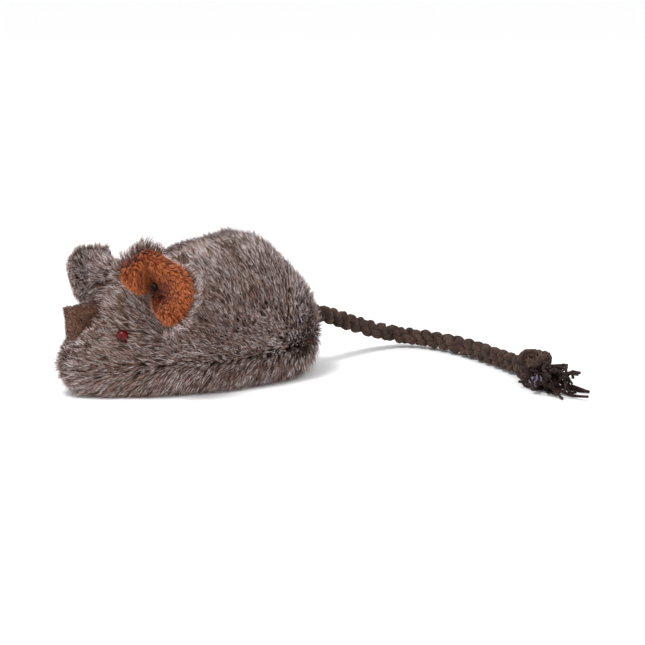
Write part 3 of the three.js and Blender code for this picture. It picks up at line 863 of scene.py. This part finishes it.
def earOutward(spots, side):
    # away from the ear's middle in the plane of its rim, and how far out, in mm
    facing, across, up = earAxes(ear[side])
    pose, sign = ear[side], 1 if side == "left" else -1
    facing = np.array((facing.x, facing.y * sign, facing.z))
    centre = np.array((pose["centre"][0], -abs(pose["centre"][1]) * sign, pose["centre"][2])) * mm
    flat = spots - centre
    flat = flat - facing * (flat @ facing)[:, None]
    return unit(flat), np.linalg.norm(flat, axis=1) / mm


def earNap(spots, normals, side, inward):
    # on the back the pile is brushed out to the rim; on the lining down and across
    sign = 1 if side == "left" else -1
    outward = earOutward(spots, side)[0]
    brushed = np.array((0.35, -0.2 * sign, -0.7)) + 0.5 * outward if inward else outward + (0.1, 0, 0.1)
    return unit(brushed - normals * np.sum(brushed * normals, axis=1, keepdims=True))


def makeEars(furTones):
    lining = liningCloth()
    backing = bpy.data.materials["backingCloth"]
    liningTones = [plainFibre("liningRoot", tone(120, 54, 25))]
    for name, colour in (("Deep", (146, 68, 32)), ("Rust", (172, 88, 46)), ("Copper", (190, 104, 58)),
                         ("Amber", (210, 126, 78))):
        liningTones.append(plainFibre("lining" + name, tone(*colour), 0.15))
    for number, side in enumerate(("left", "right")):
        front = earCloth(f"ear_lining_cloth_{side}", earForm(side, ear["liningAt"]), lining, True)
        settle(front, "ear_lining", "root", f"ear_{side}_lining")
        back = earCloth(f"ear_back_cloth_{side}", earForm(side, ear["backAt"], 0.3, 0.85), backing, False)
        settle(back, "fur", "root", f"ear_{side}_back")
        generator = seeded(31 + number)
        spots, normals = scatter(surfaceData(earForm(side, ear["liningAt"])), liningPile["perSquareMm"], generator)
        reach = earOutward(spots, side)[1]
        # the lining pile gets random paler and darker patches; it is darker towards the hollow's throat, painted
        # shade in the recess, and darker towards the rim
        settle(growFur(f"ear_lining_pile_{side}", spots, normals, earNap(spots, normals, side, True), generator,
                       liningPile, liningTones, None, 0.25 * smoothNoise(spots, 160, 2) - 0.02 * abs(reach - 8)),
               "ear_lining")
        form = earForm(side, ear["backAt"] + 0.4, 0.5, 0.85)
        bmesh.ops.reverse_faces(form, faces=form.faces)
        spots, normals = scatter(surfaceData(form), earPile["perSquareMm"], generator)
        outward, reach = earOutward(spots, side)
        rim = blendBy(reach, ear["rim"] - 3.5, ear["rim"] - 0.6)
        if side == "right":
            rim = rim * (0.35 + 0.35 * blendBy(outward[:, 0], -0.95, 0.9))   # the lining shows at this ear's front
        normals = unit(normals * (1 - 0.8 * rim) + outward * 1.1 * rim)
        settle(growFur(f"ear_fur_{side}", spots, normals, earNap(spots, normals, side, False), generator,
                       earPile, furTones, ear[side]["pileShare"] * np.ones(len(spots)), 0.08), "fur")


# the felt cap on the nose: a folded tab, pinched along its top

felt = {
    "tip": -48.9, "back": -36.5, "low": 16.5, "high": 32.6, "halfWidth": 5.6, "topHalfWidth": 0.9,
    "lean": 0.14, "rise": 0.03, "thickness": 1.1, "foldRound": 0.62,
}
feltFuzz = {
    "perSquareMm": 13, "length": 0.95, "lengthVaries": 0.3, "width": 0.085, "rise": 0.7, "lean": 0.6,
    "levels": (0.4,), "clumpsPerSquareMm": 2.2, "clumping": 0.55, "stray": 0.8, "roll": 0.8,
}


def feltForm():
    form = bmesh.new()
    bmesh.ops.create_grid(form, x_segments=70, y_segments=44, size=0.5)
    for vertex in form.verts:
        u, v = vertex.co.x * 2, vertex.co.y + 0.5
        width = felt["topHalfWidth"] + (felt["halfWidth"] - felt["topHalfWidth"]) * math.sqrt(max(0, 1 - v ** 3))
        x = felt["tip"] + (felt["back"] - felt["tip"]) * abs(u) ** 1.35
        y = math.copysign(width * abs(u) ** felt["foldRound"], u)
        z = felt["low"] + (felt["high"] - felt["low"]) * v
        x += (felt["high"] - z) * felt["lean"]
        z += (x - felt["tip"]) * felt["rise"] * v
        grain = noise.noise(Vector((x, y, z)) * 0.22) * 0.5 + noise.noise(Vector((x, y, z)) * 0.9) * 0.16
        vertex.co = Vector((x - 0.35 * grain, y + math.copysign(grain, u), z + 0.3 * grain)) * mm
    form.normal_update()
    if sum((face.normal.x for face in form.faces)) > 0:
        bmesh.ops.reverse_faces(form, faces=form.faces)
        form.normal_update()
    return form


def feltCloth():
    material, shader, wire = newMaterial("noseFelt", {
        "Base Color": tone(120, 88, 72), "Roughness": 0.95, "Specular IOR Level": 0.15,
        "Sheen Weight": 0.3, "Sheen Roughness": 0.6, "Sheen Tint": tone(200, 170, 150),
    })
    at = place(wire)
    pebbles = cloud(wire, at, 900, 4, 0.65)
    patches = cloud(wire, at, 160)
    feed(shader, "Base Color", ramp(
        wire, (pebbles * 0.6 + patches * 0.4).clipped(),
        (0.3, tone(52, 33, 26)), (0.52, tone(92, 62, 50)), (0.72, tone(130, 98, 80))))
    feed(shader, "Normal", bumped(wire, pebbles, 0.8, 0.0005))
    return material


def makeFelt():
    cap = meshObject("nose_felt_cap", feltForm())
    wall = cap.modifiers.new("wall", "SOLIDIFY")
    wall.thickness = felt["thickness"] * mm
    wall.offset = -1
    cap.data.materials.append(feltCloth())
    settle(cap, "felt", "root", "nose_felt")
    generator = seeded(41)
    spots, normals = scatter(surfaceData(feltForm()), feltFuzz["perSquareMm"], generator)
    swirl = unit(generator.normal(0, 1, spots.shape))
    swirl = unit(swirl - normals * np.sum(swirl * normals, axis=1, keepdims=True))
    tones = [plainFibre("feltRoot", tone(58, 36, 28))]
    for name, colour in (("Dark", (66, 42, 33)), ("Brown", (98, 67, 53)), ("Warm", (124, 88, 70)),
                         ("Tan", (170, 134, 114))):
        tones.append(plainFibre("felt" + name, tone(*colour)))
    fromTip = spots[:, 0] / mm - felt["tip"]
    # painted light: a paler band along the fold ridge near the tip is a painted highlight, and the steady darkening
    # towards the back is painted shade where the head's fur shades the felt
    paintedHighlightAndShade = 0.8 * np.exp(-((fromTip - 1.8) / 1.1) ** 2) - 0.07 * fromTip + 0.22
    settle(growFur("nose_felt_fuzz", spots, normals, swirl, generator, feltFuzz, tones, None, paintedHighlightAndShade), "felt")


# eyes: polished beads, each on a stitch of dark thread

bead = {"radius": 2.25, "bore": 0.5, "at": (-33, 15.4, 23.4), "boreTilt": -20}


def beadGlass():
    material, shader, wire = newMaterial("beadGlass", {
        "Base Color": tone(150, 8, 16), "Roughness": 0.04, "IOR": 1.34, "Coat Weight": 0.0,
    })
    swirl = cloud(wire, place(wire), 300, 2)
    feed(shader, "Base Color", ramp(wire, swirl, (0.35, tone(44, 0, 3)), (0.65, tone(100, 1, 7))))
    return material


def makeEyes():
    glass = beadGlass()
    thread = plainFibre("eyeThread", tone(26, 18, 16))
    for side, sign in (("left", -1), ("right", 1)):
        # a profile round the bore, spun once
        form = bmesh.new()
        outer, bore = bead["radius"], bead["bore"]
        start = math.asin(bore / outer)
        rim = [(outer * math.sin(a), outer * math.cos(a)) for a in np.linspace(start, math.pi - start, 25)]
        ring = [form.verts.new((x, 0, z)) for x, z in rim] + [form.verts.new((bore * 0.9, 0, z)) for z in (
            -outer * 0.9, 0, outer * 0.9)]
        edges = [form.edges.new((a, b)) for a, b in zip(ring, ring[1:] + ring[:1])]
        bmesh.ops.spin(form, geom=edges, cent=(0, 0, 0), axis=(0, 0, 1), angle=2 * math.pi, steps=40, use_merge=True)
        bmesh.ops.remove_doubles(form, verts=form.verts, dist=1e-4)
        bmesh.ops.recalc_face_normals(form, faces=form.faces)
        turn = Matrix.Rotation(math.radians(bead["boreTilt"]), 3, "Y") @ Matrix.Rotation(math.radians(20 * sign), 3, "X")
        bmesh.ops.rotate(form, verts=form.verts, matrix=turn)
        bmesh.ops.scale(form, vec=(mm, mm, mm), verts=form.verts)
        middle = Vector((bead["at"][0], sign * bead["at"][1], bead["at"][2]))
        bmesh.ops.translate(form, verts=form.verts, vec=middle * mm)
        eye = meshObject(f"eye_bead_{side}", form)
        eye.data.materials.append(glass)
        settle(eye, "bead", "root", f"eye_{side}_bead")
        axis = turn @ Vector((0, 0, 1))
        inward = Vector((0.25, -sign, -0.1)).normalized()
        line = [middle - axis * 2.4 + inward * 2.5, middle - axis * 2.6, middle, middle + axis * 2.6,
                middle + axis * 3.1 + inward * 0.9, middle + axis * 2.6 + inward * 3]
        stitch = yarnMesh(f"eye_stitch_{side}", [(smoothRoute([tuple(p) for p in line], 0.25)[0], 0.42)], thread, 1)
        settle(stitch, "thread")


def roomToGrow(spots, tips, trees):
    # how much of its length each strand keeps before it runs into an ear, the felt, a bead or the key
    room = np.ones(len(spots))
    for tree, low, high, ignored in trees:
        inside = np.all((np.maximum(spots, tips) > low) & (np.minimum(spots, tips) < high), axis=1)
        for k in np.nonzero(inside)[0]:
            way = Vector(tips[k] - spots[k])
            struck = tree.ray_cast(Vector(spots[k]), way.normalized(), way.length)[3]
            if struck is not None and struck < way.length * ignored:
                room[k] = min(room[k], 0.95 * struck / way.length)
    return room


def keySweep():
    # the room the winding key turns in: its hub, and the disc its bow describes
    low, high = (Vector(corner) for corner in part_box("winding_key"))
    middle, reach = (low + high) / 2, (high.x - low.x) / 2
    places = [vertex.co for vertex in frame["nodes"]["winding_key"].data.vertices]
    bowFrom = min(place.y for place in places if abs(place.x - middle.x) > reach * 0.7)
    hub = max(place.z - middle.z for place in places)
    rooms = []
    for radius, start in ((hub + 0.5 * mm, low.y), (reach + 0.5 * mm, bowFrom - 0.5 * mm)):
        room = bmesh.new()
        bmesh.ops.create_cone(room, cap_ends=True, segments=40, radius1=radius, radius2=radius, depth=high.y - start)
        bmesh.ops.rotate(room, verts=room.verts, matrix=Matrix.Rotation(math.pi / 2, 3, "X"))
        bmesh.ops.translate(room, verts=room.verts, vec=(middle.x, (high.y + start) / 2, middle.z))
        rooms.append(room)
    return rooms


def obstacleTrees():
    trees = []
    forms = [earForm(side, near, 0.3) for side in ("left", "right") for near in (ear["liningAt"], ear["backAt"])]
    forms.append(feltForm())
    for sign in (-1, 1):
        ball = bmesh.new()
        bmesh.ops.create_icosphere(ball, subdivisions=3, radius=bead["radius"] * 0.98 * mm)
        bmesh.ops.translate(ball, verts=ball.verts, vec=Vector((bead["at"][0], sign * bead["at"][1], bead["at"][2])) * mm)
        forms.append(ball)
    forms += keySweep()
    rope = bmesh.new()
    rope.from_mesh(frame["nodes"]["tail_rope"].data)
    forms.append(rope)
    for k, form in enumerate(forms):
        places = np.array([vertex.co[:] for vertex in form.verts])
        ignored = 0.25 if k == 4 else 1.0           # tips may lie over the felt's edge
        trees.append((BVHTree.FromBMesh(form), places.min(axis=0), places.max(axis=0), ignored))
        form.free()
    return trees


def makePelt():
    cloth1 = backingCloth()
    for name, low, high, side, node in (
            ("pile_cloth_left", cloth["hem"], None, -1, "cover_left_panel"),
            ("pile_cloth_right", cloth["hem"], None, 1, "cover_right_panel"),
            ("pile_cloth_skirt", cloth["rim"], cloth["hem"], 0, "skirt_band")):
        panel = backingPanel(name, low, high, side)
        panel.data.materials.append(cloth1)
        settle(panel, "fur", "root", node)
    print("backing is cut")

    form = toyForm()
    for vertex, normal in [(vertex, vertex.normal.copy()) for vertex in form.verts]:
        vertex.co -= normal * cloth["pile"] * mm
    cut(form, (0, 0, cloth["rim"] * mm), (0, 0, 1))
    surface = surfaceData(form)
    generator = seeded(21)
    spots, normals = scatter(surface, fur["perSquareMm"], generator)
    combed = nap(spots, normals)
    tips = spots + fur["length"] * mm * (normals * fur["rise"] + combed * fur["lean"])
    room = roomToGrow(spots, tips, obstacleTrees())
    kept = room > 0.3
    spots, normals, combed, room = spots[kept], normals[kept], combed[kept], room[kept]
    materials = furMaterials()
    x, y, z = (spots[:, k] / mm for k in range(3))
    shorter = room * (1 - 0.45 * (1 - blendBy(np.hypot(y, z - 22), 8, 12)[:, 0]) * (x < -30))
    # paler towards the top of the back and at the snout, darker on the middle of the flank and behind the head, with
    # random patches; the strong lift on the rump above the hem is painted light, standing in for light falling on the
    # rump
    paler = 0.2 * blendBy(z, 34, 46)[:, 0] - 0.12 * np.exp(-((x - 4) / 16) ** 2 - ((z - 24) / 9) ** 2) - 0.09
    paler = paler - 0.1 * np.exp(-((x + 27) / 9) ** 2) + 0.12 * blendBy(x, -36, -46)[:, 0] + 0.3 * blendBy(x, 26, 44)[:, 0] * blendBy(z, 12, 24)[:, 0]
    paler = paler + 0.12 * smoothNoise(spots, 70, 5)
    for sideName, onSide in (("left", y < 0), ("right", y >= 0)):
        for part, low, high in (("head", -99, -24), ("shoulder", -24, -4), ("flank", -4, 18), ("rump", 18, 99)):
            chosen = onSide & (x >= low) & (x < high) & (z > cloth["hem"])
            settle(growFur(f"fur_{part}_{sideName}", spots[chosen], normals[chosen], combed[chosen],
                           generator, fur, materials, shorter[chosen], paler[chosen]), "fur")
        for part, low, high in (("front", -99, -14), ("middle", -14, 24), ("rear", 24, 99)):
            chosen = onSide & (x >= low) & (x < high) & (z <= cloth["hem"])
            settle(growFur(f"fur_skirt_{part}_{sideName}", spots[chosen], normals[chosen], combed[chosen],
                           generator, fur, materials, room[chosen], paler[chosen]), "fur")
    print("fur:", len(spots), "strands")
    return materials


# motor, chassis and stuffing: the CAD solids keep their shape and get their finish here

metalFinish = {"nickel": (158, 160, 164), "blued": (62, 70, 92), "brassTone": (196, 152, 74)}


def metal(name, colour, roughness, streak):
    material, shader, wire = newMaterial(name, {"Base Color": tone(*colour), "Metallic": 1.0, "Roughness": roughness})
    at = place(wire, streak)
    brushed = cloud(wire, at, 900, 3)
    stains = cloud(wire, place(wire), 90, 3)
    darker = tuple(value * 0.72 for value in colour)
    feed(shader, "Base Color", ramp(wire, (brushed * 0.4 + stains * 0.6).clipped(),
                                    (0.3, tone(*darker)), (0.6, tone(*colour))))
    feed(shader, "Roughness", (brushed * 0.25 + stains * 0.2 + (roughness - 0.18)).clipped())
    feed(shader, "Normal", bumped(wire, brushed, 0.15, 0.0002))
    return material


def moulded(name, colour, roughness, grain):
    material, shader, wire = newMaterial(name, {"Base Color": tone(*colour), "Roughness": roughness})
    at = place(wire)
    speckle, drift = cloud(wire, at, grain, 3), cloud(wire, at, 120, 2)
    darker = tuple(value * 0.82 for value in colour)
    feed(shader, "Base Color", ramp(wire, (speckle * 0.3 + drift * 0.7).clipped(),
                                    (0.3, tone(*darker)), (0.65, tone(*colour))))
    feed(shader, "Roughness", (drift * 0.2 + (roughness - 0.1)).clipped())
    feed(shader, "Normal", bumped(wire, speckle, 0.2, 0.0002))
    return material


def finishMotor():
    nickel = metal("nickelPlate", metalFinish["nickel"], 0.32, (1, 1, 12))
    finishes = {
        "steel": nickel,
        "spring_steel": metal("bluedSpring", metalFinish["blued"], 0.3, (1, 20, 1)),
        "brass": metal("turnedBrass", metalFinish["brassTone"], 0.3, (1, 12, 1)),
        "nylon": moulded("gearNylon", (224, 219, 204), 0.42, 1400),
        "rubber": moulded("tyreRubber", (34, 33, 33), 0.8, 2200),
        "chassis_plastic": moulded("basePlastic", (38, 38, 41), 0.5, 1800),
        "thread": moulded("waxedThread", (34, 26, 23), 0.7, 2600),
    }
    for part in frame["record"]["subparts"]:
        finish = finishes.get(part["material_slot"])
        if finish:
            node = frame["nodes"][part["node"]]
            for slot in node.material_slots:
                slot.material = finish


wadding = {"swell": 0.5, "lumps": 0.35, "tone": (226, 223, 214)}


def makeStuffing():
    material, shader, wire = newMaterial("waddingFibre", {
        "Base Color": tone(*wadding["tone"]), "Roughness": 0.95, "Sheen Weight": 0.4, "Specular IOR Level": 0.1,
    })
    at = place(wire)
    fibres = cloud(wire, at, 700, 5, 0.7)
    feed(shader, "Base Color", ramp(wire, fibres, (0.3, tone(186, 182, 172)), (0.7, tone(236, 233, 226))))
    feed(shader, "Normal", bumped(wire, fibres, 0.9, 0.0006))
    for part in ("head", "back", "rump"):
        form = bmesh.new()
        form.from_mesh(frame["nodes"][f"{part}_stuffing"].data)
        bmesh.ops.remove_doubles(form, verts=form.verts, dist=0.01 * mm)
        form.normal_update()
        moves = [(vertex, vertex.normal * noise.noise(vertex.co * 260) * wadding["lumps"] * mm) for vertex in form.verts]
        for vertex, move in moves:
            vertex.co += move - vertex.normal * wadding["lumps"] * mm
        piece = meshObject(f"wadding_{part}", form)
        piece.data.materials.append(material)
        settle(piece, "wadding", "root", f"{part}_stuffing")


setStudio()
print("camera, floor and light are set")
makeTail()
print("tail is plaited")

furTones = makePelt()
makeEars(furTones)
print("ears are sewn on")
makeFelt()
makeEyes()
print("face is done")
finishMotor()
makeStuffing()
print("motor and stuffing are finished")
